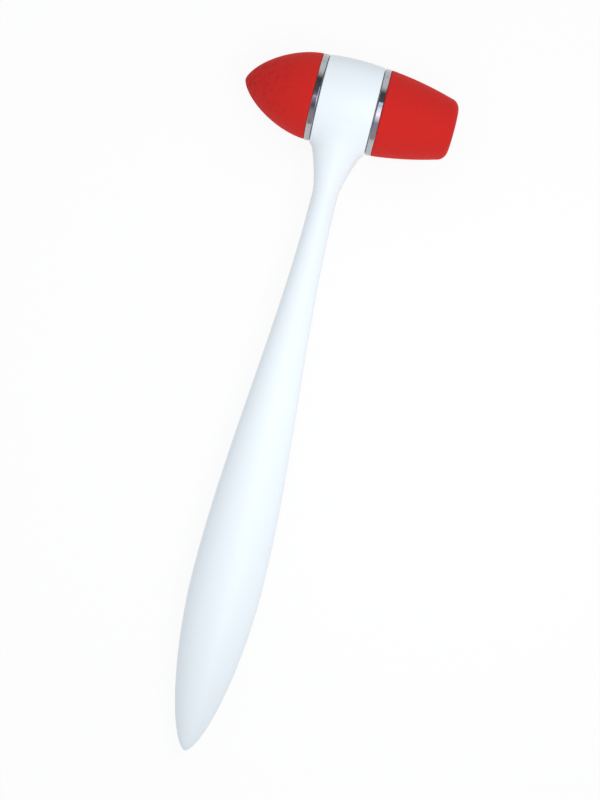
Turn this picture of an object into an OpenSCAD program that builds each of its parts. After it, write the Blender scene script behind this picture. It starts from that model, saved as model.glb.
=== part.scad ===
// Reflex hammer with a pointed and a blunt rubber tip.
// It lies on a flat surface as it comes to rest: the head runs along X with
// the pointed tip on the left, the handle runs towards -Y, and +Z is up.
// The origin is on the surface, under the middle of the hammer's outline.

/* [Barrel] */
// Length of the white barrel between the two collars
barrel_len = 15.7; // [13:0.1:20]
// Diameter at the middle of the barrel
barrel_d = 25.3; // [24:0.1:30]
// How far the barrel's surface falls from its middle to its ends
barrel_crown = 0.45; // [0.2:0.05:1]
// Rounding of the barrel's two end edges
barrel_edge = 0.3; // [0.1:0.05:0.5]

/* [Handle] */
// Distance from the head's axis to the point of the handle
handle_reach = 187; // [170:0.5:215]
// Diameter of the neck
neck_d = 7.2; // [6:0.1:9]
// Distance from the head's axis to the thinnest place of the neck
neck_at = 27; // [22:0.5:40]
// Width of the grip at its widest place, across the handle
grip_w = 20.3; // [14:0.1:26]
// Thickness of the grip at the same place
grip_thick = 17.4; // [12:0.1:22]
// Distance from the head's axis to the widest place of the grip
grip_at = 138.5; // [120:0.5:145]
// How long the grip stays wide before it tapers to its point
point_belly = 1.8; // [1.4:0.05:2.5]
// How round the point is, with 2 for an elliptical end
point_bluntness = 1.65; // [1.3:0.05:2]

/* [Flare] */
// Width of the flare where it leaves the barrel
flare_w = 14.95; // [11:0.05:15]
// Length of the flare, from the barrel down the handle
flare_len = 13.65; // [9:0.05:18]
// How hollow the flare's curve is, with 1 for a straight cone
flare_hollow = 1.43; // [1.1:0.01:2]
// How deep the flare is rooted inside the barrel
flare_root = 4; // [3:0.1:5]

/* [Collars] */
// Thickness of the chromed ring that shows between barrel and rubber
collar_thick = 1.85; // [1.2:0.05:4]
// How far the ring's outside lies inside the barrel's end edges
collar_inset = 0.05; // [0.05:0.05:2]
// Rounding of the ring's two outer edges
collar_edge = 0.25; // [0.1:0.05:0.5]
// Diameter of the spigot that sits inside the barrel
spigot_d = 16; // [11:0.1:18]
// Length of the spigot
spigot_len = 3.2; // [1.5:0.1:4]

/* [Pointed tip] */
// Length of the pointed rubber tip
pointed_len = 19.9; // [16:0.1:28]
// How far the outside of its base lies inside the ring's
pointed_inset = 0.1; // [0.05:0.05:1.5]
// How long the pointed tip stays wide, with 1 for a steady taper
pointed_belly = 1.66; // [1.3:0.01:2]
// How round its nose is, with 2 for an elliptical nose
pointed_bluntness = 1.5; // [1.4:0.05:2]

/* [Blunt tip] */
// Length of the blunt rubber tip
blunt_len = 20.75; // [16:0.05:28]
// How far the outside of its base lies inside the ring's
blunt_inset = 0.05; // [0.05:0.05:1.5]
// Diameter at which its side would meet its end face without rounding
blunt_end_d = 15.8; // [14:0.1:20]
// How far its side bulges out at half length
blunt_bulge = 0.55; // [0.1:0.05:0.8]
// Rounding between its side and its end face
blunt_round = 3; // [1:0.1:4]
// Rounding of both rubber tips at the collars
rubber_edge = 0.35; // [0.1:0.05:0.6]

/* [Fixing inside the head] */
// Diameter of the rod that clamps the head together
stud_d = 5; // [4:0.1:5.5]
// Chamfer at each end of the rod
stud_chamfer = 0.6; // [0.2:0.1:1]
// Diameter of the brass bush inside each tip
insert_d = 8; // [7:0.1:9]
// Length of the bush
insert_len = 10; // [8.5:0.1:11.5]
// Diameter of the bush's anchor flange, which keeps it in the rubber
anchor_d = 11.5; // [10:0.1:12]
// Thickness of the anchor flange
anchor_thick = 1.8; // [1:0.1:2.5]
// Length of the rod that is screwed into each bush
screwed_len = 7; // [4:0.1:7.2]
// Depth left in the bush past the end of the rod
thread_spare = 0.8; // [0.3:0.1:1]

/* [Clearances] */
// Gap around the rod where it passes through collars and barrel
stud_gap = 0.2; // [0.1:0.05:0.4]
// Gap around the rod inside the brass bush
thread_gap = 0.05; // [0.03:0.01:0.1]
// Gap around the collar's spigot, and past its end
spigot_gap = 0.1; // [0.05:0.01:0.2]
// Gap between the brass bush and the rubber around it
moulded_gap = 0.05; // [0.03:0.01:0.1]

/* [Smoothness] */
// Sides of the lofted handle
handle_sides = 40; // [24:4:48]
// Steps along the round outline of each rubber tip
tip_steps = 20; // [12:1:32]

/* [Hidden] */
$fn = 120;

handle_white = [0.93, 0.96, 0.98];
rubber_red = [0.80, 0.17, 0.15];
chrome_grey = [0.72, 0.73, 0.75];
steel_grey = [0.55, 0.56, 0.58];
brass_yellow = [0.78, 0.62, 0.30];

// Numbers of rings on the handle's flare, shaft and point, and steps on small round edges
flare_rings = 12;
shaft_rings = 22;
point_rings = 18;
crown_steps = 8;
edge_steps = 4;
// Overlap of a cutting shape past the face that it cuts
cut_over = 1;

barrel_r = barrel_d / 2;
barrel_end_r = barrel_r - barrel_crown;
collar_r = barrel_end_r - collar_inset;
pointed_base_r = collar_r - pointed_inset;
blunt_base_r = collar_r - blunt_inset;
tip_base_at = barrel_len / 2 + collar_thick;
pointed_end_at = tip_base_at + pointed_len;
blunt_end_at = tip_base_at + blunt_len;
bore_d = stud_d + 2 * stud_gap;
thread_d = stud_d + 2 * thread_gap;
stud_len = 2 * (tip_base_at + screwed_len);

// Smooth step from 0 to 1 without a kink at either end
function ease(t) = t * t * (3 - 2 * t);

// How far along the way from a to b a place s lies, from 0 to 1
function share(s, a, b) = min(1, max(0, (s - a) / (b - a)));

// Points of a quarter round of radius r, around a centre, from one angle to another
function round_edge(centre, r, from, to) =
    [for (i = [0 : edge_steps])
        let (a = from + (to - from) * i / edge_steps)
        [centre[0] + r * cos(a), centre[1] + r * sin(a)]];

// The handle's sections are ellipses. Distances s run from the head's axis to the point.
flare_from = barrel_end_r;
flare_to = flare_from + flare_len;
root_at = flare_from - flare_root;
point_len = handle_reach - grip_at;

function flare_extra(s) =
    s >= flare_to ? 0
    : (flare_w - neck_d) / 2 * pow((flare_to - s) / flare_len, flare_hollow);
function shaft_radius(s, grip) =
    neck_d / 2 + (grip - neck_d) / 2 * ease(share(s, neck_at, grip_at));
function point_radius(s, grip) =
    grip / 2 * pow(1 - pow(share(s, grip_at, handle_reach), point_belly), 1 / point_bluntness);
function handle_radius(s, grip) =
    s > grip_at ? point_radius(s, grip) : shaft_radius(s, grip) + flare_extra(s);

// Half the width across the handle. The flare is kept between the barrel's two end edges.
function half_width(s) =
    s < flare_to ? min(barrel_len / 2 - barrel_edge, handle_radius(s, grip_w))
    : handle_radius(s, grip_w);
// Half the thickness
function half_thick(s) = handle_radius(s, grip_thick);

// Places of the rings, closer together in the flare and towards the point
stations = concat(
    [for (i = [0 : flare_rings]) root_at + (flare_to - root_at) * i / flare_rings],
    [for (i = [1 : shaft_rings]) flare_to + (grip_at - flare_to) * i / shaft_rings],
    [for (i = [1 : point_rings]) grip_at + point_len * sin(90 * i / (point_rings + 1))]);

// The hammer rests on its barrel and its grip, so the handle slopes down a little
rest_tilt = min([for (s = stations)
    if (s > flare_to) asin(barrel_r / norm([s, half_thick(s)])) - atan2(half_thick(s), s)]);
handle_end_y = max([for (s = stations) s * cos(rest_tilt) + half_thick(s) * sin(rest_tilt)]);
middle_x = (blunt_end_at - pointed_end_at) / 2;
middle_y = (barrel_r - max(handle_end_y, handle_reach * cos(rest_tilt))) / 2;

// Lays a piece that is modelled around the head's centre down on the surface
module lying() {
    translate([-middle_x, -middle_y, barrel_r])
        rotate([rest_tilt, 0, 0])
            children();
}

// Turns a solid with its axis along Z so that Z points to the blunt side
module towards_blunt() {
    rotate([0, 90, 0]) children();
}

// Turns a solid with its axis along Z so that Z points to the pointed side
module towards_pointed() {
    rotate([0, -90, 0]) children();
}

// Outline of the barrel as radius and place, with a crowned side and round edges
module barrel_outline() {
    side_half = barrel_len / 2 - barrel_edge;
    edge_r = barrel_end_r - barrel_edge;
    polygon(concat(
        [[0, -barrel_len / 2]],
        round_edge([edge_r, -side_half], barrel_edge, -90, 0),
        [for (i = [1 : crown_steps - 1])
            let (z = side_half * (2 * i / crown_steps - 1))
            [barrel_end_r + barrel_crown * (1 - pow(z / side_half, 2)), z]],
        round_edge([edge_r, side_half], barrel_edge, 0, 90),
        [[0, barrel_len / 2]]));
}

// Flare, shaft, grip and point as one loft of elliptical rings down to an apex
module handle_loft() {
    rings = len(stations);
    apex = rings * handle_sides;
    points = concat(
        [for (s = stations, k = [0 : handle_sides - 1])
            let (a = 360 * k / handle_sides)
            [half_width(s) * cos(a), -s, half_thick(s) * sin(a)]],
        [[0, -handle_reach, 0]]);
    root_face = [[for (k = [0 : handle_sides - 1]) k]];
    side_faces = [for (ring = [0 : rings - 2], k = [0 : handle_sides - 1], half = [0, 1])
        let (a = ring * handle_sides + k,
             b = ring * handle_sides + (k + 1) % handle_sides)
        half == 0 ? [a, a + handle_sides, b] : [b, a + handle_sides, b + handle_sides]];
    point_faces = [for (k = [0 : handle_sides - 1])
        [apex - handle_sides + k, apex, apex - handle_sides + (k + 1) % handle_sides]];
    polyhedron(points = points, faces = concat(root_face, side_faces, point_faces));
}

// Room for a collar's spigot at one end of the barrel
module spigot_pocket() {
    translate([0, 0, barrel_len / 2 - spigot_len - spigot_gap])
        cylinder(d = spigot_d + 2 * spigot_gap, h = spigot_len + spigot_gap + cut_over);
}

// One white moulding, from the barrel to the point
module handle() {
    color(handle_white)
        lying()
            difference() {
                union() {
                    towards_blunt() rotate_extrude() barrel_outline();
                    handle_loft();
                }
                towards_blunt() cylinder(d = bore_d, h = barrel_len + 2 * cut_over, center = true);
                towards_blunt() spigot_pocket();
                towards_pointed() spigot_pocket();
            }
}

// The rod that clamps collars and tips against the barrel
module clamp_stud() {
    color(steel_grey)
        lying()
            towards_blunt()
                rotate_extrude()
                    polygon([
                        [0, -stud_len / 2],
                        [stud_d / 2 - stud_chamfer, -stud_len / 2],
                        [stud_d / 2, stud_chamfer - stud_len / 2],
                        [stud_d / 2, stud_len / 2 - stud_chamfer],
                        [stud_d / 2 - stud_chamfer, stud_len / 2],
                        [0, stud_len / 2]]);
}

// A chromed ring with a spigot, with Z pointing away from the barrel
module collar() {
    ring_r = collar_r - collar_edge;
    ring_from = barrel_len / 2;
    ring_to = tip_base_at;
    color(chrome_grey)
        rotate_extrude()
            polygon(concat(
                [[bore_d / 2, ring_from - spigot_len], [spigot_d / 2, ring_from - spigot_len],
                 [spigot_d / 2, ring_from]],
                round_edge([ring_r, ring_from + collar_edge], collar_edge, -90, 0),
                round_edge([ring_r, ring_to - collar_edge], collar_edge, 0, 90),
                [[bore_d / 2, ring_to]]));
}

module pointed_collar() {
    lying() towards_pointed() collar();
}

module blunt_collar() {
    lying() towards_blunt() collar();
}

// Outline of the brass bush from its base, grown by a gap for the hole in the rubber
module insert_outline(gap) {
    anchor_from = insert_len - anchor_thick;
    polygon([
        [0, 0],
        [insert_d / 2 + gap, 0],
        [insert_d / 2 + gap, anchor_from - gap],
        [anchor_d / 2 + gap, anchor_from - gap],
        [anchor_d / 2 + gap, insert_len + gap],
        [0, insert_len + gap]]);
}

// A brass bush with a blind hole for the rod, with Z pointing away from the barrel
module insert() {
    color(brass_yellow)
        translate([0, 0, tip_base_at])
            difference() {
                rotate_extrude() insert_outline(0);
                translate([0, 0, -cut_over])
                    cylinder(d = thread_d, h = screwed_len + thread_spare + cut_over);
            }
}

module pointed_insert() {
    lying() towards_pointed() insert();
}

module blunt_insert() {
    lying() towards_blunt() insert();
}

// Radius of the pointed tip at a place z from its base
function pointed_radius(z) =
    pointed_base_r * pow(1 - pow(z / pointed_len, pointed_belly), 1 / pointed_bluntness);

// Outline of the pointed tip, with steps that grow short towards the nose
module pointed_outline() {
    edge_r = pointed_radius(rubber_edge) - rubber_edge;
    polygon(concat(
        [[0, 0]],
        round_edge([edge_r, rubber_edge], rubber_edge, -90, 0),
        [for (i = [1 : tip_steps - 1])
            let (z = rubber_edge + (pointed_len - rubber_edge) * sin(90 * i / tip_steps))
            [pointed_radius(z), z]],
        [[0, pointed_len]]));
}

// Radius of the blunt tip's side at a place z from its base
function blunt_radius(z) =
    let (t = z / blunt_len)
    blunt_base_r + (blunt_end_d / 2 - blunt_base_r) * t + 4 * blunt_bulge * t * (1 - t);

// Outline of the blunt tip, with its side, its rounded rim and its flat end
module blunt_outline() {
    lean = atan((blunt_base_r - blunt_end_d / 2 + 4 * blunt_bulge) / blunt_len);
    rim_run = blunt_round * tan((90 - lean) / 2);
    rim_centre = [blunt_end_d / 2 - rim_run, blunt_len - blunt_round];
    side_to = blunt_len - rim_run * cos(lean);
    edge_r = blunt_radius(rubber_edge) - rubber_edge;
    polygon(concat(
        [[0, 0]],
        round_edge([edge_r, rubber_edge], rubber_edge, -90, 0),
        [for (i = [1 : tip_steps - 1])
            let (z = rubber_edge + (side_to - rubber_edge) * i / tip_steps)
            [blunt_radius(z), z]],
        [for (i = [0 : tip_steps])
            let (a = lean + (90 - lean) * i / tip_steps)
            rim_centre + blunt_round * [cos(a), sin(a)]],
        [[0, blunt_len]]));
}

// A rubber tip around its brass bush, with Z pointing away from the barrel
module rubber_tip() {
    color(rubber_red)
        translate([0, 0, tip_base_at])
            difference() {
                rotate_extrude() children();
                translate([0, 0, -cut_over])
                    cylinder(d = insert_d + 2 * moulded_gap, h = 2 * cut_over);
                rotate_extrude() insert_outline(moulded_gap);
            }
}

module pointed_tip() {
    lying() towards_pointed() rubber_tip() pointed_outline();
}

module blunt_tip() {
    lying() towards_blunt() rubber_tip() blunt_outline();
}

handle();
clamp_stud();
pointed_collar();
blunt_collar();
pointed_tip();
blunt_tip();
pointed_insert();
blunt_insert();
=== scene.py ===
"""Looks of a reflex hammer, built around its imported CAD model.

The white moulding, the two rubber tips, the chromed collars and the hidden rod
and bushes are modelled in millimetres on the hammer's own axes: X runs along
the head towards the blunt tip, -Y down the handle, and the origin is the
head's centre. Each finished mesh is then laid down where the CAD model lies.
"""

import logging
import math
from collections.abc import Callable
from dataclasses import dataclass
from enum import Enum

import bmesh
import bpy
import numpy as np
from mathutils import Matrix, Vector


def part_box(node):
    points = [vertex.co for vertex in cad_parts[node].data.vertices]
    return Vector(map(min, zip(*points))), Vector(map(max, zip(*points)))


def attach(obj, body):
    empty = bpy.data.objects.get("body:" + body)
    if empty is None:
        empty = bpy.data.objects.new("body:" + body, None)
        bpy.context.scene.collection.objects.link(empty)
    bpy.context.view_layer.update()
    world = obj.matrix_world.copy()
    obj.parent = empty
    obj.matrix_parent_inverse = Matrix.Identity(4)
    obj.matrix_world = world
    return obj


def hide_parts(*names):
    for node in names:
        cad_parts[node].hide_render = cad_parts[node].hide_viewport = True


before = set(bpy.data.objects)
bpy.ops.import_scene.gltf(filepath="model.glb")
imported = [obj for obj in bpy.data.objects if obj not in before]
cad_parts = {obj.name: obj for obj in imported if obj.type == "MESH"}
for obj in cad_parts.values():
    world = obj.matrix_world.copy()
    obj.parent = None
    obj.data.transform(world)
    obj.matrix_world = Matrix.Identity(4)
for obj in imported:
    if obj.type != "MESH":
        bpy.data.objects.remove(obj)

log = logging.getLogger("reflex_hammer")

ROOT = "root"
MM = 0.001
FULL_TURN = 2 * math.pi
EIGHTH_TURN = math.pi / 4
MERGE_MM = 1e-4
TINY = 1e-9

Colour = tuple[float, float, float, float]
ColourSource = Colour | bpy.types.NodeSocket
Stops = tuple[tuple[float, Colour], ...]
Profile = list[tuple[float, float]]
WHITE: Colour = (1.0, 1.0, 1.0, 1.0)


def ease(share: np.ndarray) -> np.ndarray:
    """Smooth step from 0 to 1, flat at both ends."""
    share = np.clip(share, 0.0, 1.0)
    return share * share * (3 - 2 * share)


class Side(Enum):
    """The two sides of the head, as the sign of X."""

    POINTED = -1
    BLUNT = 1


@dataclass(frozen=True)
class Lie:
    """Where the hammer's own axes lie in the row frame, in metres and radians."""

    centre: Vector
    tilt: float

    @classmethod
    def of_frame(cls) -> "Lie":
        """Reads the head's centre from the rod and the slope from the handle's point.

        Returns:
            The place and slope of the hammer's axes.
        """
        low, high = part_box("clamp_stud")
        centre = (low + high) / 2
        places = (vertex.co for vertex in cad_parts["handle"].data.vertices)
        point = min(places, key=lambda place: place.y)
        return cls(centre, math.atan2(centre.z - point.z, centre.y - point.y))

    def turn(self) -> Matrix:
        """Rotation from the hammer's axes to the row frame's."""
        return Matrix.Rotation(self.tilt, 4, "X")

    def from_mm(self) -> Matrix:
        """Matrix that takes millimetres on the hammer's axes to the row frame."""
        return Matrix.Translation(self.centre) @ self.turn() @ Matrix.Scale(MM, 4)

    def mapping(self) -> tuple[tuple[float, ...], tuple[float, ...]]:
        """Location and rotation that bring Object coordinates onto the hammer's axes."""
        place = -(self.turn().inverted() @ self.centre)
        return tuple(place), (-self.tilt, 0.0, 0.0)


class Signal:
    """A number that varies over a surface, carried by a node's socket."""

    def __init__(self, maker: "NodeMaker", socket: bpy.types.NodeSocket) -> None:
        """Keeps the socket and the maker that adds further nodes."""
        self.maker = maker
        self.socket = socket

    def _math(self, operation: str, *values: "Signal | float") -> "Signal":
        """Adds one Math node.

        Args:
            operation: The Math node's operation.
            values: Its one or two inputs, in order.

        Returns:
            The node's result.
        """
        node = self.maker.node("ShaderNodeMath", {"operation": operation}, dict(enumerate(values)))
        return Signal(self.maker, node.outputs[0])

    def __add__(self, other: "Signal | float") -> "Signal":
        """Sum."""
        return self._math("ADD", self, other)

    __radd__ = __add__

    def __sub__(self, other: "Signal | float") -> "Signal":
        """Difference."""
        return self._math("SUBTRACT", self, other)

    def __rsub__(self, other: float) -> "Signal":
        """Difference from a plain number."""
        return self._math("SUBTRACT", other, self)

    def __mul__(self, other: "Signal | float") -> "Signal":
        """Product."""
        return self._math("MULTIPLY", self, other)

    __rmul__ = __mul__

    def __truediv__(self, other: "Signal | float") -> "Signal":
        """Quotient."""
        return self._math("DIVIDE", self, other)

    def __rtruediv__(self, other: float) -> "Signal":
        """Quotient of a plain number."""
        return self._math("DIVIDE", other, self)

    def __pow__(self, power: float) -> "Signal":
        """Power with a plain exponent."""
        return self._math("POWER", self, power)

    def clamped(self) -> "Signal":
        """The same signal, held between 0 and 1."""
        return self._math("MINIMUM", self._math("MAXIMUM", self, 0.0), 1.0)

    def or_more(self, other: "Signal | float") -> "Signal":
        """The larger of this signal and another."""
        return self._math("MAXIMUM", self, other)


class NodeMaker:
    """Adds the nodes of one material or of the world."""

    MIX_A, MIX_B, MIX_RESULT = 6, 7, 2

    def __init__(self, owner: bpy.types.Material | bpy.types.World) -> None:
        """Empties the owner's node tree.

        Args:
            owner: The material or world that the nodes belong to.
        """
        owner.use_nodes = True
        self.tree = owner.node_tree
        self.tree.nodes.clear()

    def node(self, kind: str, settings: dict | None = None, inputs: dict | None = None) -> bpy.types.Node:
        """Adds one node.

        Args:
            kind: The node's type.
            settings: Its properties, set first. Pairs of (place, colour) under
                "stops" set a ramp's stops.
            inputs: Values, sockets or signals by input name or number.

        Returns:
            The new node.
        """
        made = self.tree.nodes.new(kind)
        for name, value in (settings or {}).items():
            if name == "stops":
                self._set_stops(made.color_ramp.elements, value)
            else:
                setattr(made, name, value)
        for name, value in (inputs or {}).items():
            self.feed(made.inputs[name], value)
        return made

    def feed(self, socket: bpy.types.NodeSocket, value: object) -> None:
        """Links a signal or socket to an input, or sets the input's own value.

        Args:
            socket: The input.
            value: The signal, socket or plain value that it gets.
        """
        source = value.socket if isinstance(value, Signal) else value
        if isinstance(source, bpy.types.NodeSocket):
            self.tree.links.new(source, socket)
        else:
            socket.default_value = source

    @staticmethod
    def _set_stops(elements: bpy.types.bpy_prop_collection, stops: Stops) -> None:
        """Gives a ramp as many stops as asked, with their places and colours.

        Args:
            elements: The ramp's own stops.
            stops: Pairs of (place, colour).
        """
        while len(elements) < len(stops):
            elements.new(1.0)
        for element, (place, colour) in zip(elements, stops):
            element.position = place
            element.color = colour

    def signal(self, node: bpy.types.Node, output: int | str = 0) -> Signal:
        """One output of a node as a signal."""
        return Signal(self, node.outputs[output])

    def own_axes(self, lie: Lie) -> bpy.types.NodeSocket:
        """Brings Object coordinates onto the hammer's own axes.

        Args:
            lie: Where those axes lie.

        Returns:
            The coordinates, in metres.
        """
        place, turn = lie.mapping()
        coordinates = self.node("ShaderNodeTexCoord").outputs["Object"]
        inputs = {"Vector": coordinates, "Location": place, "Rotation": turn}
        return self.node("ShaderNodeMapping", {"vector_type": "POINT"}, inputs).outputs["Vector"]

    def noise(self, place: bpy.types.NodeSocket, scale: float, detail: float = 2.0) -> Signal:
        """Noise of about 0 to 1, with a scale in waves per metre."""
        inputs = {"Vector": place, "Scale": scale, "Detail": detail}
        return self.signal(self.node("ShaderNodeTexNoise", {}, inputs))

    def mix(self, share: Signal | float, first: ColourSource, second: ColourSource) -> bpy.types.NodeSocket:
        """A colour between two others, which are plain colours or other nodes' colours."""
        inputs = {0: share, self.MIX_A: first, self.MIX_B: second}
        return self.node("ShaderNodeMix", {"data_type": "RGBA"}, inputs).outputs[self.MIX_RESULT]

    def bump(self, height: Signal) -> bpy.types.NodeSocket:
        """Normal from a height in metres."""
        inputs = {"Height": height, "Distance": 1.0, "Strength": 1.0}
        return self.node("ShaderNodeBump", {}, inputs).outputs["Normal"]

    def surface(self, inputs: dict) -> None:
        """Ends a material in a Principled shader with these inputs."""
        shader = self.node("ShaderNodeBsdfPrincipled", {}, inputs)
        self.node("ShaderNodeOutputMaterial", {}, {"Surface": shader.outputs[0]})


@dataclass(frozen=True)
class GlossWhite:
    """Smooth white moulded plastic with a faint blue cast.

    Widths and heights are in metres, and scales in waves per metre.
    """

    lie: Lie
    light: Colour = (0.815, 0.868, 0.902, 1.0)
    deep: Colour = (0.795, 0.854, 0.893, 1.0)
    roughness: float = 0.32
    uneven_roughness: float = 0.08
    seam_roughness: float = 0.08
    refraction: float = 1.5
    specular: float = 0.32
    cloud_scale: float = 45.0
    flow_scale: float = 160.0
    skin_scale: float = 1400.0
    skin_height: float = 0.000003
    seam_width: float = 0.00007
    seam_height: float = 0.00002

    def material(self) -> bpy.types.Material:
        """Mixes the plastic, with a soft mottle, a fine skin and the mould's parting line.

        Returns:
            The finished material.
        """
        made = bpy.data.materials.new("gloss_white_plastic")
        maker = NodeMaker(made)
        place = maker.own_axes(self.lie)
        height_above_seam = maker.signal(maker.node("ShaderNodeSeparateXYZ", {}, {0: place}), "Z")
        seam = 1 / (1 + (height_above_seam / self.seam_width) ** 2)
        cloud = maker.noise(place, self.cloud_scale)
        skin = maker.noise(place, self.skin_scale, 3.0)
        flow = maker.noise(place, self.flow_scale)
        uneven = self.uneven_roughness * (flow - 0.5)
        maker.surface({
            "Base Color": maker.mix(cloud, self.deep, self.light),
            "Roughness": self.roughness + uneven + self.seam_roughness * seam,
            "IOR": self.refraction,
            "Specular IOR Level": self.specular,
            "Normal": maker.bump(self.skin_height * skin + self.seam_height * seam),
        })
        return made


@dataclass(frozen=True)
class RedRubber:
    """Matte red moulded rubber, darker and mottled towards the pointed nose.

    Places and heights are in metres, and scales in waves per metre.
    """

    lie: Lie
    red: Colour = (0.568, 0.0170, 0.0133, 1.0)
    dark: Colour = (0.29, 0.0095, 0.0080, 1.0)
    roughness: float = 0.70
    uneven_roughness: float = 0.14
    refraction: float = 1.5
    specular: float = 0.15
    sheen: float = 0.46
    sheen_roughness: float = 0.5
    sheen_tint: Colour = (0.92, 0.05, 0.04, 1.0)
    nose_from: float = -0.013
    nose_reach: float = 0.016
    nose_darkening: float = 0.16
    nose_mottle: float = 0.90
    mottle_elsewhere: float = 0.06
    patch_scale: float = 760.0
    patch_level: float = 0.48
    patch_contrast: float = 3.0
    patch_height: float = 0.00001
    speckle_scale: float = 2000.0
    speckle_contrast: float = 1.6
    grain_scale: float = 2600.0
    grain_height: float = 0.000014

    def material(self) -> bpy.types.Material:
        """Mixes the rubber, with dark patches and specks and a fine grain.

        Returns:
            The finished material.
        """
        made = bpy.data.materials.new("red_rubber")
        maker = NodeMaker(made)
        place = maker.own_axes(self.lie)
        along = maker.signal(maker.node("ShaderNodeSeparateXYZ", {}, {0: place}), "X")
        nose = ((self.nose_from - along) / self.nose_reach).clamped()
        patches = maker.noise(place, self.patch_scale, 4.0)
        speckle = maker.noise(place, self.speckle_scale, 2.0)
        blotches = (patches - self.patch_level) * self.patch_contrast
        mottle = (blotches + (speckle - 0.5) * self.speckle_contrast).clamped()
        at_nose = nose * (self.nose_darkening * nose + self.nose_mottle * mottle)
        share = self.mottle_elsewhere * mottle + at_nose
        grain = maker.noise(place, self.grain_scale, 3.0)
        maker.surface({
            "Base Color": maker.mix(share, self.red, self.dark),
            "Roughness": self.roughness + self.uneven_roughness * (patches - 0.5),
            "IOR": self.refraction,
            "Specular IOR Level": self.specular,
            "Sheen Weight": self.sheen,
            "Sheen Roughness": self.sheen_roughness,
            "Sheen Tint": self.sheen_tint,
            "Normal": maker.bump(self.grain_height * grain + self.patch_height * patches),
        })
        return made


@dataclass(frozen=True)
class Metal:
    """A bright or turned metal with fine marks that run round the head's axis.

    Depths are in metres, and scales in waves per metre.
    """

    name: str
    lie: Lie
    colour: Colour
    dull: Colour
    roughness: float
    mark_depth: float
    ripple_depth: float
    uneven_share: float = 0.25
    mark_scale: float = 9000.0
    mark_stretch: tuple[float, float, float] = (1.0, 0.02, 0.02)
    ripple_scale: float = 700.0
    smear_scale: float = 300.0

    def material(self) -> bpy.types.Material:
        """Mixes the metal, with turning marks, a slight waviness and faint smears.

        Returns:
            The finished material.
        """
        made = bpy.data.materials.new(self.name)
        maker = NodeMaker(made)
        place = maker.own_axes(self.lie)
        stretched = maker.node("ShaderNodeMapping", {}, {"Vector": place, "Scale": self.mark_stretch})
        marks = maker.noise(stretched.outputs["Vector"], self.mark_scale, 3.0)
        ripple = maker.noise(place, self.ripple_scale, 2.0)
        smear = maker.noise(place, self.smear_scale, 3.0)
        maker.surface({
            "Base Color": maker.mix(smear, self.dull, self.colour),
            "Metallic": 1.0,
            "Roughness": self.roughness + self.uneven_share * self.roughness * (marks - 0.5 + smear - 0.5),
            "Normal": maker.bump(self.mark_depth * marks + self.ripple_depth * ripple),
        })
        return made


class Piece:
    """A mesh on the hammer's own axes in millimetres, and what becomes of it."""

    SHARP = math.radians(38)

    def __init__(self, name: str, mesh: bmesh.types.BMesh, lie: Lie) -> None:
        """Lays a finished bmesh down in the row frame and makes its object.

        Args:
            name: The piece's name.
            mesh: The bmesh in millimetres, which is freed.
            lie: Where the hammer's axes lie.
        """
        bmesh.ops.transform(mesh, matrix=lie.from_mm(), verts=mesh.verts)
        data = bpy.data.meshes.new(name)
        mesh.to_mesh(data)
        mesh.free()
        data.shade_smooth()
        data.set_sharp_from_angle(angle=self.SHARP)
        self.object = bpy.data.objects.new(name, data)
        bpy.context.scene.collection.objects.link(self.object)

    def dress(self, material: bpy.types.Material, slot: str, *nodes: str) -> None:
        """Gives the piece its finish, and puts it in place of its CAD nodes.

        Args:
            material: The material that it shows.
            slot: The record's material slot; not used.
            nodes: The CAD nodes that it stands for.
        """
        self.object.data.materials.append(material)
        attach(self.object, ROOT)
        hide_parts(*nodes)
        triangles = sum(len(face.vertices) - 2 for face in self.object.data.polygons)
        log.info("%s: %d triangles, stands for %s", self.object.name, triangles, ", ".join(nodes))


def lathe(profile: Profile, side: Side, steps: int, closed: bool) -> bmesh.types.BMesh:
    """Turns a profile round the head's axis.

    Args:
        profile: Points as (place along the axis from the head's centre, radius).
        side: The side of the head that the places are measured towards.
        steps: How many steps make the full turn.
        closed: Whether the last point joins the first, as for a ring.

    Returns:
        A closed bmesh with its faces pointing outwards.
    """
    mesh = bmesh.new()
    points = [mesh.verts.new((side.value * along, 0.0, radius)) for along, radius in profile]
    following = points[1:] + (points[:1] if closed else [])
    edges = [mesh.edges.new(pair) for pair in zip(points, following)]
    bmesh.ops.spin(
        mesh, geom=points + edges, cent=(0, 0, 0), axis=(1, 0, 0), dvec=(0, 0, 0),
        angle=FULL_TURN, steps=steps, use_merge=True,
    )
    bmesh.ops.remove_doubles(mesh, verts=mesh.verts, dist=MERGE_MM)
    bmesh.ops.recalc_face_normals(mesh, faces=mesh.faces)
    return mesh


def arc(centre: tuple[float, float], radius: float, start: float, stop: float, steps: int) -> Profile:
    """Points of a round stretch of a profile.

    Args:
        centre: The round's centre as (along, radius).
        radius: The round's own radius.
        start: First angle in degrees, with 0 along the axis and 90 away from it.
        stop: Last angle in degrees.
        steps: How many steps lie between them.

    Returns:
        The points, both ends included.
    """
    angles = [math.radians(start + (stop - start) * i / steps) for i in range(steps + 1)]
    return [(centre[0] + radius * math.cos(a), centre[1] + radius * math.sin(a)) for a in angles]


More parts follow.
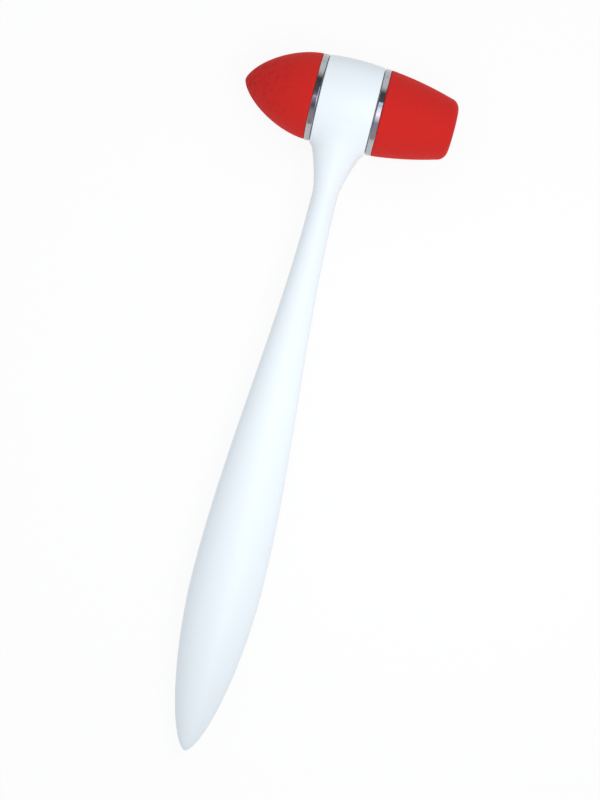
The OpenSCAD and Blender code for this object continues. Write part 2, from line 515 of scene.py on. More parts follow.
@dataclass(frozen=True)
class Fixing:
    """Sizes that the pieces inside the head share, in millimetres."""

    barrel_length: float = 15.7
    collar_thickness: float = 1.85
    rod_diameter: float = 5.0
    rod_gap: float = 0.2
    thread_gap: float = 0.05
    spigot_diameter: float = 16.0
    spigot_length: float = 3.2
    spigot_gap: float = 0.1
    bush_diameter: float = 8.0
    bush_length: float = 10.0
    anchor_diameter: float = 11.5
    anchor_thickness: float = 1.8
    screwed_length: float = 7.0
    thread_spare: float = 0.8
    moulded_gap: float = 0.05

    def tip_base(self) -> float:
        """Place along the axis where a rubber tip starts."""
        return self.barrel_length / 2 + self.collar_thickness

    def bore_radius(self) -> float:
        """Radius of the hole that the rod passes through."""
        return self.rod_diameter / 2 + self.rod_gap


@dataclass(frozen=True)
class Moulding:
    """The one white moulding: barrel, flare, neck, grip and point, in millimetres."""

    fixing: Fixing
    barrel_diameter: float = 25.3
    barrel_crown: float = 0.45
    barrel_edge: float = 0.3
    reach: float = 187.0
    neck_diameter: float = 7.2
    neck_at: float = 27.0
    grip_width: float = 20.3
    grip_thickness: float = 17.4
    grip_at: float = 138.5
    point_belly: float = 1.8
    point_bluntness: float = 1.65
    flare_width: float = 14.95
    flare_length: float = 13.65
    flare_hollow: float = 1.43
    flare_root: float = 1.3
    blend: float = 2.2
    # Rings of the coarse cage
    cage_sides: int = 16
    subdivisions: int = 3
    first_ring_gap: float = 1.6
    flare_rings: int = 6
    shaft_rings: int = 15
    point_rings: int = 11
    last_ring_turn: float = 1.40
    # Steps round the barrel's edge, in degrees
    edge_turns: tuple[float, ...] = (22.5, 45.0, 67.5, 90.0)
    # Stretch round the joint of flare and barrel that is relaxed
    relaxed_from: float = 6.0
    relaxed_to: float = 30.0
    relaxing_rounds: int = 6

    def side_half(self) -> float:
        """Half the length of the barrel's side, without its round edges."""
        return self.fixing.barrel_length / 2 - self.barrel_edge

    def end_radius(self) -> float:
        """Radius of the barrel at its two ends."""
        return self.barrel_diameter / 2 - self.barrel_crown

    def shaft_radius(self, down: np.ndarray, grip: float) -> np.ndarray:
        """Half the handle's size from the flare to the grip.

        Args:
            down: Distances from the head's axis.
            grip: The size at the widest place.

        Returns:
            Half the size at each distance.
        """
        flare_to = self.end_radius() + self.flare_length
        share = (down - self.neck_at) / (self.grip_at - self.neck_at)
        radius = self.neck_diameter / 2 + (grip - self.neck_diameter) / 2 * ease(share)
        flare = np.clip((flare_to - down) / self.flare_length, 0.0, self.flare_root)
        return radius + (self.flare_width - self.neck_diameter) / 2 * flare ** self.flare_hollow

    def handle_field(self, places: np.ndarray) -> np.ndarray:
        """How far places lie outside the handle, without the barrel.

        Args:
            places: Rows of x, y and z.

        Returns:
            Rough distances, negative inside.
        """
        down = -places[:, 1]
        across, above = places[:, 0], places[:, 2]
        width = self.shaft_radius(down, self.grip_width)
        thick = self.shaft_radius(down, self.grip_thickness)
        ring = np.sqrt((across / width) ** 2 + (above / thick) ** 2) + TINY
        shaft = np.hypot(across, above) * (1 - 1 / ring)
        share = np.clip((down - self.grip_at) / (self.reach - self.grip_at), 0.0, None)
        ring_at_grip = np.hypot(across / self.grip_width, above / self.grip_thickness) * 2
        point = ring_at_grip ** self.point_bluntness + share ** self.point_belly - 1
        point = point * self.grip_thickness / 2 / self.point_bluntness
        return np.where(down > self.grip_at, point, shaft)

    def field(self, places: np.ndarray) -> np.ndarray:
        """How far places lie outside the whole moulding, with barrel and handle blended.

        Args:
            places: Rows of x, y and z.

        Returns:
            Rough distances, negative inside.
        """
        fade_from, fade_over, fade_lift = 2.0, 6.0, 30.0
        crown = self.barrel_crown * (1 - (places[:, 0] / self.side_half()) ** 2)
        barrel = np.hypot(places[:, 1], places[:, 2]) - self.end_radius() - crown
        faded = 1 - ease((-places[:, 1] - fade_from) / fade_over)
        handle = self.handle_field(places) + fade_lift * faded
        near = np.maximum(self.blend - np.abs(barrel - handle), 0.0) / self.blend
        return np.minimum(barrel, handle) - near * near * self.blend / 4

    def settle(self, mesh: bmesh.types.BMesh, rounds: int) -> None:
        """Moves every vertex onto the moulding's true surface.

        Args:
            mesh: The bmesh, whose open edges keep their place along the head.
            rounds: How many steps each vertex takes.
        """
        verts = list(mesh.verts)
        places = np.array([v.co for v in verts], float)
        open_rim = np.array([v.is_boundary for v in verts])
        probe, longest, flattest = 1e-3, 1.5, 1e-6
        for _ in range(rounds):
            height = self.field(places)
            slope = np.stack([
                (self.field(places + probe * axis) - height) / probe for axis in np.eye(3)
            ], axis=1)
            slope[open_rim, 0] = 0.0
            step = height[:, None] * slope / np.maximum((slope ** 2).sum(1), flattest)[:, None]
            length = np.linalg.norm(step, axis=1)[:, None]
            places -= step * np.minimum(1.0, longest / np.maximum(length, TINY))
        for vert, place in zip(verts, places):
            vert.co = place

    def stations(self) -> list[float]:
        """Lists the rings of the cage, from the flare to the point.

        Returns:
            Their distances from the head's axis.
        """
        flare_to = self.end_radius() + self.flare_length
        flare = np.linspace(self.end_radius() + self.first_ring_gap, flare_to, self.flare_rings)
        shaft = np.linspace(flare_to, self.grip_at, self.shaft_rings)[1:]
        turns = np.linspace(0, self.last_ring_turn, self.point_rings)
        point = self.grip_at + (self.reach - self.grip_at) * np.sin(turns)[1:]
        return [float(s) for s in (*flare, *shaft, *point)]

    def ring_size(self, down: float) -> tuple[float, float]:
        """Half the handle's size at one place.

        Args:
            down: The place's distance from the head's axis.

        Returns:
            Half its width and half its thickness.
        """
        if down <= self.grip_at:
            spot = np.array([down])
            sizes = [self.shaft_radius(spot, grip)[0] for grip in (self.grip_width, self.grip_thickness)]
            return min(sizes[0], self.side_half()), sizes[1]
        share = (down - self.grip_at) / (self.reach - self.grip_at)
        left = (1 - share ** self.point_belly) ** (1 / self.point_bluntness)
        return self.grip_width / 2 * left, self.grip_thickness / 2 * left

    def cage(self) -> bmesh.types.BMesh:
        """Builds a coarse cage: a tube for the barrel, and its underside drawn out into the handle.

        Returns:
            The cage, open at the barrel's two ends.
        """
        mesh = bmesh.new()
        radius = self.barrel_diameter / 2
        bmesh.ops.create_cone(
            mesh, cap_ends=False, segments=self.cage_sides, radius1=radius, radius2=radius,
            depth=2 * self.side_half(),
        )
        bmesh.ops.rotate(mesh, verts=mesh.verts, cent=(0, 0, 0), matrix=Matrix.Rotation(math.pi / 2, 3, "Y"))
        lengthwise = [e for e in mesh.edges if abs(e.verts[0].co.x - e.verts[1].co.x) > self.side_half()]
        quarter = self.cage_sides // 4
        bmesh.ops.subdivide_edges(mesh, edges=lengthwise, cuts=quarter - 1, use_grid_fill=True)
        underside = math.cos(EIGHTH_TURN) * radius
        region = [f for f in mesh.faces if -f.calc_center_median().y > underside]
        stations = self.stations()
        region = self.draw_out(mesh, region)
        for vert in {v for f in region for v in f.verts}:
            vert.co = self.on_disc(vert.co, stations[0])
        for before, after in zip(stations, stations[1:]):
            old, new = self.ring_size(before), self.ring_size(after)
            region = self.draw_out(mesh, region)
            moved = list({v for f in region for v in f.verts})
            bmesh.ops.scale(mesh, verts=moved, vec=(new[0] / old[0], 1, new[1] / old[1]))
            bmesh.ops.translate(mesh, verts=moved, vec=(0, before - after, 0))
        bmesh.ops.recalc_face_normals(mesh, faces=mesh.faces)
        return mesh

    @staticmethod
    def draw_out(mesh: bmesh.types.BMesh, region: list[bmesh.types.BMFace]) -> list[bmesh.types.BMFace]:
        """Extrudes a region of faces in place.

        Args:
            mesh: The bmesh that the region belongs to.
            region: The faces.

        Returns:
            The region's new faces.
        """
        edges = list({edge for face in region for edge in face.edges})
        grown = bmesh.ops.extrude_face_region(mesh, geom=region + edges)["geom"]
        return [g for g in grown if isinstance(g, bmesh.types.BMFace)]

    def on_disc(self, place: Vector, down: float) -> Vector:
        """Moves a point of the barrel's underside grid onto a round section of the handle.

        Args:
            place: A vertex of the square grid that the barrel's underside forms.
            down: The section's distance from the head's axis.

        Returns:
            The point's place on the section's disc.
        """
        column = place.x / self.side_half()
        row = math.atan2(place.z, -place.y) / EIGHTH_TURN
        reach = max(abs(column), abs(row), TINY)
        if abs(column) >= abs(row):
            angle = EIGHTH_TURN * row / (column or TINY) + (math.pi if column < 0 else 0.0)
        else:
            angle = math.copysign(math.pi / 2, row) - EIGHTH_TURN * column / row
        width, thick = self.ring_size(down)
        return Vector((reach * width * math.cos(angle), -down, reach * thick * math.sin(angle)))

    def close_end(self, mesh: bmesh.types.BMesh, side: Side) -> list[bmesh.types.BMEdge]:
        """Rounds one end of the barrel, and sinks the collar's pocket and the bore into it.

        Args:
            mesh: The settled moulding.
            side: The end to close.

        Returns:
            The edges of the bore's open rim, ready to be bridged.
        """
        fixing = self.fixing
        rim = [e for e in mesh.edges if e.is_boundary and e.verts[0].co.x * side.value > 0
               and e.verts[1].co.x * side.value > 0]
        end = fixing.barrel_length / 2
        for last, turn in zip((0.0, *self.edge_turns), self.edge_turns):
            sink = self.barrel_edge * (math.cos(math.radians(last)) - math.cos(math.radians(turn)))
            along = self.side_half() + self.barrel_edge * math.sin(math.radians(turn))
            rim = self.next_rim(mesh, rim, side.value * along, lambda r, sink=sink: r - sink)
        pocket = fixing.spigot_diameter / 2 + fixing.spigot_gap
        floor = end - fixing.spigot_length - fixing.spigot_gap
        for along, radius in ((end, pocket), (floor, pocket), (floor, fixing.bore_radius())):
            rim = self.next_rim(mesh, rim, side.value * along, lambda r, radius=radius: radius)
        return rim

    @staticmethod
    def next_rim(
        mesh: bmesh.types.BMesh, rim: list[bmesh.types.BMEdge], along: float,
        radius_of: Callable[[float], float],
    ) -> list[bmesh.types.BMEdge]:
        """Extrudes an open rim and moves it to a new place and radius.

        Args:
            mesh: The bmesh that the rim belongs to.
            rim: The rim's edges.
            along: The new rim's place along the head.
            radius_of: Gives the new radius of a vertex from its old one.

        Returns:
            The new rim's edges.
        """
        grown = bmesh.ops.extrude_edge_only(mesh, edges=rim)["geom"]
        for vert in (g for g in grown if isinstance(g, bmesh.types.BMVert)):
            radius = math.hypot(vert.co.y, vert.co.z)
            share = radius_of(radius) / radius
            vert.co = Vector((along, vert.co.y * share, vert.co.z * share))
        return [g for g in grown if isinstance(g, bmesh.types.BMEdge)
                and all(abs(v.co.x - along) < MERGE_MM for v in g.verts)]

    def build(self) -> bmesh.types.BMesh:
        """Builds the moulding as one closed, smooth mesh.

        Returns:
            The finished bmesh in millimetres.
        """
        mesh = smoothed(self.cage(), self.subdivisions)
        self.settle(mesh, rounds=8)
        joint = [v for v in mesh.verts if not v.is_boundary
                 and self.relaxed_from < -v.co.y < self.relaxed_to]
        for _ in range(self.relaxing_rounds):
            bmesh.ops.smooth_vert(
                mesh, verts=joint, factor=0.5, use_axis_x=True, use_axis_y=True, use_axis_z=True,
            )
        self.settle(mesh, rounds=4)
        rims = [self.close_end(mesh, side) for side in Side]
        bmesh.ops.bridge_loops(mesh, edges=rims[0] + rims[1])
        bmesh.ops.recalc_face_normals(mesh, faces=mesh.faces)
        return mesh


def smoothed(cage: bmesh.types.BMesh, levels: int) -> bmesh.types.BMesh:
    """Subdivides a cage as a subdivision surface.

    Args:
        cage: The coarse bmesh, which is freed.
        levels: How many times it is subdivided.

    Returns:
        The fine bmesh.
    """
    data = bpy.data.meshes.new("cage")
    cage.to_mesh(data)
    cage.free()
    holder = bpy.data.objects.new("cage", data)
    bpy.context.scene.collection.objects.link(holder)
    modifier = holder.modifiers.new("Subdivision", "SUBSURF")
    modifier.levels = levels
    modifier.render_levels = levels
    evaluated = holder.evaluated_get(bpy.context.evaluated_depsgraph_get())
    fine = bmesh.new()
    fine.from_mesh(evaluated.to_mesh())
    evaluated.to_mesh_clear()
    bpy.data.objects.remove(holder)
    bpy.data.meshes.remove(data)
    return fine


@dataclass(frozen=True)
class Collar:
    """A chromed ring with the spigot that centres it in the barrel, in millimetres."""

    fixing: Fixing
    diameter: float = 24.3
    edge: float = 0.25
    flat_margin: float = 0.03
    relief_width: float = 0.2
    relief_depth: float = 1.0
    corner_angle: float = 1.0
    bevel_segments: int = 4
    steps: int = 144

    def build(self, side: Side) -> bmesh.types.BMesh:
        """Turns the collar, relieved beside the barrel, and rounds the two edges that show.

        Args:
            side: The side of the head that it belongs to.

        Returns:
            The finished bmesh.
        """
        face = self.fixing.barrel_length / 2
        outside = self.fixing.tip_base()
        bore = self.fixing.bore_radius()
        spigot = self.fixing.spigot_diameter / 2
        radius = self.diameter / 2
        inside = face - self.fixing.spigot_length
        shoulder = face + self.relief_width
        flat_in = self.edge + self.flat_margin
        profile = [(inside, bore), (inside, spigot), (face, spigot), (face, radius - self.relief_depth),
                   (shoulder, radius), (shoulder + flat_in, radius), (outside - flat_in, radius),
                   (outside, radius), (outside, bore)]
        mesh = lathe(profile, side, self.steps, closed=True)
        rims = [e for e in mesh.edges if all(math.hypot(v.co.y, v.co.z) > radius - MERGE_MM for v in e.verts)
                and abs(e.verts[0].co.x - e.verts[1].co.x) < MERGE_MM
                and e.calc_face_angle() > self.corner_angle]
        bmesh.ops.bevel(
            mesh, geom=rims, offset=self.edge, offset_type="OFFSET", segments=self.bevel_segments,
            profile=0.5, affect="EDGES", material=-1,
        )
        return mesh


@dataclass(frozen=True)
class RubberTip:
    """A rubber tip: its side and end, and the socket that holds the brass bush."""

    fixing: Fixing
    side: Side
    length: float
    base_diameter: float
    lip: float = 0.35
    lip_steps: int = 5
    steps: int = 144

    def radius(self, along: float) -> float:
        """Radius of the side at a distance from the base."""
        raise NotImplementedError

    def outer(self) -> Profile:
        """Outside profile from the lip to the axis, measured from the tip's base."""
        raise NotImplementedError

    def round_lip(self) -> Profile:
        """The rounded edge where the side meets the base."""
        return arc((self.lip, self.radius(self.lip) - self.lip), self.lip, 180, 90, self.lip_steps)

    def build(self) -> bmesh.types.BMesh:
        """Turns the tip round the head's axis.

        Returns:
            The finished bmesh.
        """
        fixing = self.fixing
        gap = fixing.moulded_gap
        bush = fixing.bush_diameter / 2 + gap
        anchor = fixing.anchor_diameter / 2 + gap
        shoulder = fixing.bush_length - fixing.anchor_thickness - gap
        bottom = fixing.bush_length + gap
        socket = [(bottom, 0.0), (bottom, anchor), (shoulder, anchor), (shoulder, bush), (0.0, bush)]
        profile = [(fixing.tip_base() + along, radius) for along, radius in socket + self.outer()]
        return lathe(profile, self.side, self.steps, closed=False)


@dataclass(frozen=True)
class PointedTip(RubberTip):
    """The rounded cone on the left of the head."""

    belly: float = 1.66
    bluntness: float = 1.5
    rings: int = 44

    def radius(self, along: float) -> float:
        """Radius of the side at a distance from the base."""
        share = max(0.0, 1 - (along / self.length) ** self.belly)
        return self.base_diameter / 2 * share ** (1 / self.bluntness)

    def outer(self) -> Profile:
        """Draws the outside, with rings that close up towards the nose.

        Returns:
            The profile from the lip to the nose.
        """
        reach = self.length - self.lip
        turns = [math.pi / 2 * i / self.rings for i in range(1, self.rings)]
        places = [self.lip + reach * math.sin(turn) for turn in turns]
        side = [(along, self.radius(along)) for along in places]
        return [*self.round_lip(), *side, (self.length, 0.0)]


@dataclass(frozen=True)
class BluntTip(RubberTip):
    """The truncated cone on the right of the head, with a flat end and a round rim."""

    end_diameter: float = 15.8
    bulge: float = 0.55
    rim: float = 3.0
    rim_steps: int = 16
    rings: int = 24
    face_rings: tuple[float, ...] = (0.66, 0.33, 0.0)

    def radius(self, along: float) -> float:
        """Radius of the side at a distance from the base."""
        share = along / self.length
        taper = (self.end_diameter - self.base_diameter) / 2 * share
        return self.base_diameter / 2 + taper + 4 * self.bulge * share * (1 - share)

    def outer(self) -> Profile:
        """Draws the outside, with a rim that meets the side and the flat end smoothly.

        Returns:
            The profile from the lip over the rim to the middle of the end face.
        """
        fall = (self.base_diameter - self.end_diameter) / 2 + 4 * self.bulge
        lean = math.degrees(math.atan(fall / self.length))
        run = self.rim * math.tan(math.radians((90 - lean) / 2))
        centre = (self.length - self.rim, self.end_diameter / 2 - run)
        side_to = self.length - run * math.cos(math.radians(lean))
        places = [self.lip + (side_to - self.lip) * i / self.rings for i in range(1, self.rings)]
        side = [(along, self.radius(along)) for along in places]
        rim = arc(centre, self.rim, 90 - lean, 0, self.rim_steps)
        face = [(self.length, centre[1] * share) for share in self.face_rings]
        return [*self.round_lip(), *side, *rim, *face]


@dataclass(frozen=True)
class ClampRod:
    """The threaded steel rod through the head, in millimetres."""

    fixing: Fixing
    pitch: float = 0.8
    thread_depth: float = 0.42
    chamfer: float = 0.6
    weld: float = 0.001
    spare_turns: int = 2
    steps: int = 36

    def build(self) -> bmesh.types.BMesh:
        """Winds the thread as a helix, then cuts and closes both ends.

        Returns:
            The finished bmesh.
        """
        crest = self.fixing.rod_diameter / 2
        half = self.fixing.tip_base() + self.fixing.screwed_length
        root = crest - self.thread_depth
        turns = math.ceil(2 * half / self.pitch) + self.spare_turns
        start = -half - self.pitch
        shape = ((0.0, root), (0.15, root), (0.45, crest), (0.6, crest), (1.0, root))
        mesh = bmesh.new()
        points = [mesh.verts.new((start + share * self.pitch, 0.0, radius)) for share, radius in shape]
        edges = [mesh.edges.new(pair) for pair in zip(points, points[1:])]
        bmesh.ops.spin(
            mesh, geom=points + edges, cent=(0, 0, 0), axis=(1, 0, 0), angle=FULL_TURN * turns,
            dvec=(self.pitch / self.steps, 0, 0), steps=self.steps * turns, use_merge=False,
        )
        bmesh.ops.remove_doubles(mesh, verts=mesh.verts, dist=self.weld)
        for side in Side:
            bmesh.ops.bisect_plane(
                mesh, geom=[*mesh.verts, *mesh.edges, *mesh.faces], plane_co=(side.value * half, 0, 0),
                plane_no=(side.value, 0, 0), clear_outer=True,
            )
        bmesh.ops.remove_doubles(mesh, verts=mesh.verts, dist=self.weld)
        bmesh.ops.holes_fill(mesh, edges=[e for e in mesh.edges if e.is_boundary], sides=0)
        for vert in mesh.verts:
            radius = math.hypot(vert.co.y, vert.co.z)
            allowed = crest - self.chamfer + half - abs(vert.co.x)
            share = min(1.0, allowed / radius)
            vert.co = Vector((vert.co.x, vert.co.y * share, vert.co.z * share))
        bmesh.ops.recalc_face_normals(mesh, faces=mesh.faces)
        return mesh


@dataclass(frozen=True)
class Bush:
    """A brass bush with a knurled body, an anchor flange and a blind hole, in millimetres."""

    fixing: Fixing
    knurls: int = 24
    knurl_depth: float = 0.18
    knurl_from: float = 1.0
    knurl_keenness: int = 6
    steps_per_knurl: int = 6
    rings: int = 28

    def build(self, side: Side) -> bmesh.types.BMesh:
        """Turns the bush and presses the diamond knurl into its body.

        Args:
            side: The side of the head that it belongs to.

        Returns:
            The finished bmesh.
        """
        fixing = self.fixing
        base = fixing.tip_base()
        body, anchor = fixing.bush_diameter / 2, fixing.anchor_diameter / 2
        shoulder = fixing.bush_length - fixing.anchor_thickness
        hole = fixing.rod_diameter / 2 + fixing.thread_gap
        depth = fixing.screwed_length + fixing.thread_spare
        outside = [(shoulder * i / self.rings, body) for i in range(self.rings + 1)]
        profile = [(depth, 0.0), (depth, hole), (0.0, hole), *outside, (shoulder, anchor),
                   (fixing.bush_length, anchor), (fixing.bush_length, 0.0)]
        places = [(base + along, radius) for along, radius in profile]
        mesh = lathe(places, side, self.knurls * self.steps_per_knurl, closed=False)
        for vert in mesh.verts:
            radius = math.hypot(vert.co.y, vert.co.z)
            along = abs(vert.co.x) - base
            if abs(radius - body) > MERGE_MM or not self.knurl_from < along < shoulder - self.knurl_from:
                continue
            angle = math.atan2(vert.co.z, vert.co.y) * self.knurls / 2
            wind = along / body * self.knurls / 2
            groove = max(abs(math.cos(angle + wind)), abs(math.cos(angle - wind))) ** self.knurl_keenness
            share = 1 - self.knurl_depth * groove / radius
            vert.co = Vector((vert.co.x, vert.co.y * share, vert.co.z * share))
        return mesh


@dataclass(frozen=True)
class Photo:
    """The photograph's frame and the head's middle in pixels, and the camera that fits them.

    The lean is in degrees, the sensor in millimetres and the distances in metres.
    """

    width: int = 600
    height: int = 800
    head_column: float = 347.6
    head_row: float = 105.0
    metres_per_pixel: float = 0.000281
    handle_lean: float = 14.17
    distance: float = 0.36
    sensor_width: float = 36.0
    nearest: float = 0.01
    farthest: float = 20.0


@dataclass(frozen=True)
class Reflections:
    """What gloss shows of the room above the floor.

    A sweep gives colours by place, from 0 on the handle's side over the head to 1
    behind it. The dim sweep fills the room, but for a tall soft box on the right,
    which shows the bright one.
    """

    dim: Stops = (
        (0.00, (0.38, 0.35, 0.36, 1)), (0.03, (0.45, 0.41, 0.42, 1)), (0.10, (0.40, 0.37, 0.40, 1)),
        (0.145, (0.28, 0.26, 0.30, 1)), (0.20, (0.13, 0.12, 0.14, 1)), (0.26, (0.24, 0.22, 0.27, 1)),
        (0.32, (0.38, 0.35, 0.45, 1)), (0.37, (0.48, 0.44, 0.58, 1)), (0.39, (0.95, 0.88, 1.12, 1)),
        (0.41, (0.36, 0.33, 0.43, 1)), (0.46, (0.18, 0.16, 0.22, 1)), (0.53, (0.11, 0.10, 0.14, 1)),
        (0.67, (0.10, 0.10, 0.12, 1)), (0.735, (0.075, 0.075, 0.09, 1)), (0.80, (0.085, 0.085, 0.09, 1)),
        (0.855, (0.44, 0.44, 0.43, 1)), (0.905, (0.76, 0.79, 0.78, 1)), (0.95, (0.90, 0.93, 0.92, 1)),
    )
    bright: Stops = (
        (0.14, (0.45, 0.43, 0.52, 1)), (0.17, (0.48, 0.47, 0.57, 1)), (0.22, (1.02, 0.99, 1.20, 1)),
        (0.27, (1.42, 1.35, 1.62, 1)), (0.33, (2.15, 2.03, 2.29, 1)), (0.40, (1.75, 1.66, 1.87, 1)),
        (0.46, (1.60, 1.60, 1.79, 1)), (0.53, (0.92, 1.01, 1.15, 1)), (0.59, (1.12, 1.30, 1.49, 1)),
        (0.625, (0.10, 0.13, 0.15, 1)), (0.80, (0.08, 0.09, 0.10, 1)), (0.83, (0.16, 0.17, 0.17, 1)),
        (0.87, (0.46, 0.49, 0.49, 1)), (0.90, (0.74, 0.77, 0.77, 1)), (0.94, (0.90, 0.94, 0.94, 1)),
    )
    box_left: float = -0.015
    box_right: float = 0.72
    left_blur: float = 0.03
    right_blur: float = 0.1
    lowest: float = 0.05

    def colour(self, maker: NodeMaker) -> bpy.types.NodeSocket:
        """Adds the nodes that give the colour for each direction.

        Args:
            maker: The world's node maker.

        Returns:
            The colour that gloss shows.
        """
        direction = maker.node("ShaderNodeTexCoord").outputs["Generated"]
        parts = maker.node("ShaderNodeSeparateXYZ", {}, {0: direction})
        right, ahead, up = (maker.signal(parts, axis) for axis in "XYZ")
        sideways = right / up.or_more(self.lowest)
        place = {0: ahead * 0.5 + 0.5}
        dim, bright = (
            maker.node("ShaderNodeValToRGB", {"stops": stops}, place).outputs["Color"]
            for stops in (self.dim, self.bright)
        )
        past_left = self.step(sideways, self.box_left, self.left_blur)
        past_right = self.step(sideways, self.box_right, self.right_blur)
        return maker.mix(past_left * (1 - past_right), dim, bright)

    @staticmethod
    def step(value: Signal, place: float, width: float) -> Signal:
        """Rises from 0 to 1 as a value passes a place, over a short width."""
        return ((value - place) / width + 0.5).clamped()


@dataclass(frozen=True)
class Studio:
    """Pale floor, soft light and the camera that looks down on the hammer, in metres and watts."""

    lie: Lie
    photo: Photo
    floor_half: float = 3.0
    floor_glow: float = 0.90
    mirrored_glow: float = 0.34
    lamp_power: float = 0.178
    lamp_size: tuple[float, float] = (0.10, 0.10)
    lamp_place: tuple[float, float, float] = (0.060, 0.018, 0.197)
    lamp_colour: tuple[float, float, float] = (1.0, 0.985, 0.955)
    room_level: float = 0.752
    room_tint: tuple[float, float, float] = (0.968, 1.0, 1.045)
    bounce: Colour = (0.80, 0.80, 0.80, 1.0)
    pale: Colour = (0.88, 0.88, 0.88, 1.0)

    def floor(self) -> None:
        """Lays the floor, which looks white and still takes the hammer's soft shadow."""
        mesh = bmesh.new()
        bmesh.ops.create_grid(mesh, x_segments=1, y_segments=1, size=self.floor_half)
        data = bpy.data.meshes.new("floor")
        mesh.to_mesh(data)
        mesh.free()
        floor = bpy.data.objects.new("floor", data)
        bpy.context.scene.collection.objects.link(floor)
        material = bpy.data.materials.new("pale_floor")
        maker = NodeMaker(material)
        path = maker.node("ShaderNodeLightPath")
        by_camera = maker.signal(path, "Is Camera Ray")
        mirrored = maker.signal(path, "Is Glossy Ray").or_more(maker.signal(path, "Is Transmission Ray"))
        seen = by_camera.or_more(mirrored)
        glowing = (by_camera * self.floor_glow).or_more(mirrored * self.mirrored_glow)
        matte = maker.node("ShaderNodeBsdfDiffuse", {}, {"Color": maker.mix(seen, self.bounce, self.pale)})
        glow = maker.node("ShaderNodeEmission", {}, {"Color": WHITE, "Strength": 1.0})
        inputs = {0: glowing, 1: matte.outputs[0], 2: glow.outputs[0]}
        mixed = maker.node("ShaderNodeMixShader", {}, inputs)
        maker.node("ShaderNodeOutputMaterial", {}, {"Surface": mixed.outputs[0]})
        data.materials.append(material)

    def world(self) -> None:
        """Lights the room evenly, shows white behind the floor, and gives gloss its own room."""
        world = bpy.data.worlds.new("studio")
        bpy.context.scene.world = world
        maker = NodeMaker(world)
        mirrored = Reflections().colour(maker)
        path = maker.node("ShaderNodeLightPath")
        room = tuple(self.room_level * tint for tint in self.room_tint) + (1.0,)
        lit = maker.mix(maker.signal(path, "Is Glossy Ray"), room, mirrored)
        direct = maker.signal(path, "Is Camera Ray").or_more(maker.signal(path, "Is Transmission Ray"))
        light = maker.node("ShaderNodeBackground", {}, {"Color": maker.mix(direct, lit, WHITE)})
        maker.node("ShaderNodeOutputWorld", {}, {"Surface": light.outputs[0]})

    def lamp(self) -> None:
        """Hangs the one soft lamp above the handle, a little to its right."""
        data = bpy.data.lights.new("soft_lamp", "AREA")
        data.shape = "RECTANGLE"
        data.size, data.size_y = self.lamp_size
        data.energy = self.lamp_power
        data.color = self.lamp_colour
        lamp = bpy.data.objects.new("soft_lamp", data)
        lamp.location = self.lamp_place
        lamp.rotation_euler = (-Vector(self.lamp_place)).to_track_quat("-Z", "Y").to_euler()
        lamp.visible_glossy = False
        lamp.visible_camera = False
        bpy.context.scene.collection.objects.link(lamp)

    def camera(self) -> None:
        """Sets the camera square to the hammer, over the middle of the photograph's frame."""
        photo = self.photo
        lean = math.radians(photo.handle_lean)
        right = Vector((math.cos(lean), math.sin(lean), 0))
        up = Vector((-math.sin(lean), math.cos(lean), 0))
        across = (photo.width / 2 - photo.head_column) * photo.metres_per_pixel
        down = (photo.height / 2 - photo.head_row) * photo.metres_per_pixel
        place = right * across - up * down + Vector((0, 0, photo.distance))
        data = bpy.data.cameras.new("camera")
        data.sensor_width = photo.sensor_width
        data.lens = photo.sensor_width * photo.distance / (photo.height * photo.metres_per_pixel)
        data.clip_start, data.clip_end = photo.nearest, photo.farthest
        camera = bpy.data.objects.new("camera", data)
        camera.location = self.lie.centre + self.lie.turn() @ place
        camera.rotation_euler = (self.lie.turn() @ Matrix.Rotation(lean, 4, "Z")).to_euler()
        bpy.context.scene.collection.objects.link(camera)
        bpy.context.scene.camera = camera

    def build(self) -> None:
        """Sets up the whole studio."""
        bpy.context.scene.view_settings.view_transform = "Standard"
        self.floor()
        self.world()
        self.lamp()
        self.camera()


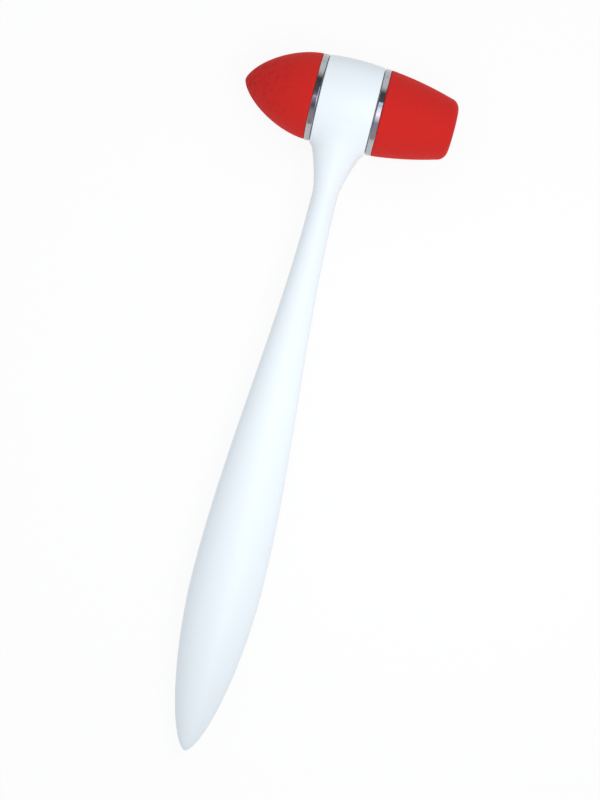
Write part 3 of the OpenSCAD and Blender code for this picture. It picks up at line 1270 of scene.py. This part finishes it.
class ReflexHammer:
    """The whole hammer: builds each piece and dresses it."""

    def __init__(self, lie: Lie) -> None:
        """Mixes the finishes and keeps the shared sizes.

        Args:
            lie: Where the hammer's axes lie.
        """
        self.lie = lie
        self.fixing = Fixing()
        self.white = GlossWhite(lie).material()
        self.red = RedRubber(lie).material()
        self.chrome = Metal(
            "chrome_plate", lie, colour=(0.50, 0.505, 0.52, 1.0), dull=(0.45, 0.455, 0.47, 1.0),
            roughness=0.06, mark_depth=0.0000005, ripple_depth=0.000001,
        ).material()
        self.steel = Metal(
            "turned_steel", lie, colour=(0.56, 0.57, 0.59, 1.0), dull=(0.44, 0.45, 0.47, 1.0),
            roughness=0.34, mark_depth=0.000004, ripple_depth=0.000002,
        ).material()
        self.brass = Metal(
            "turned_brass", lie, colour=(0.80, 0.58, 0.25, 1.0), dull=(0.62, 0.42, 0.16, 1.0),
            roughness=0.30, mark_depth=0.000003, ripple_depth=0.000002,
        ).material()

    def build(self) -> None:
        """Builds and dresses every piece, from the handle to the bushes."""
        fixing, lie = self.fixing, self.lie
        handle = Piece("white_handle", Moulding(fixing).build(), lie)
        handle.dress(self.white, "white_plastic", "handle")
        rod = Piece("threaded_rod", ClampRod(fixing).build(), lie)
        rod.dress(self.steel, "steel", "clamp_stud")
        tips = {
            Side.POINTED: PointedTip(fixing, Side.POINTED, length=19.9, base_diameter=24.1),
            Side.BLUNT: BluntTip(fixing, Side.BLUNT, length=20.75, base_diameter=24.2),
        }
        for side, tip in tips.items():
            word = side.name.lower()
            collar = Piece(f"{word}_chrome_ring", Collar(fixing).build(side), lie)
            collar.dress(self.chrome, "chrome", f"{word}_collar")
            rubber = Piece(f"{word}_rubber", tip.build(), lie)
            rubber.dress(self.red, "red_rubber", f"{word}_tip")
            bush = Piece(f"{word}_brass_bush", Bush(fixing).build(side), lie)
            bush.dress(self.brass, "brass", f"{word}_insert")


def main() -> None:
    """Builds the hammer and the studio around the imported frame."""
    logging.basicConfig(level=logging.INFO, format="%(name)s: %(message)s")
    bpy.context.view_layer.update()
    lie = Lie.of_frame()
    log.info("head centre %s, slope %.2f degrees", tuple(lie.centre), math.degrees(lie.tilt))
    ReflexHammer(lie).build()
    Studio(lie, Photo()).build()


if __name__ == "__main__":
    main()
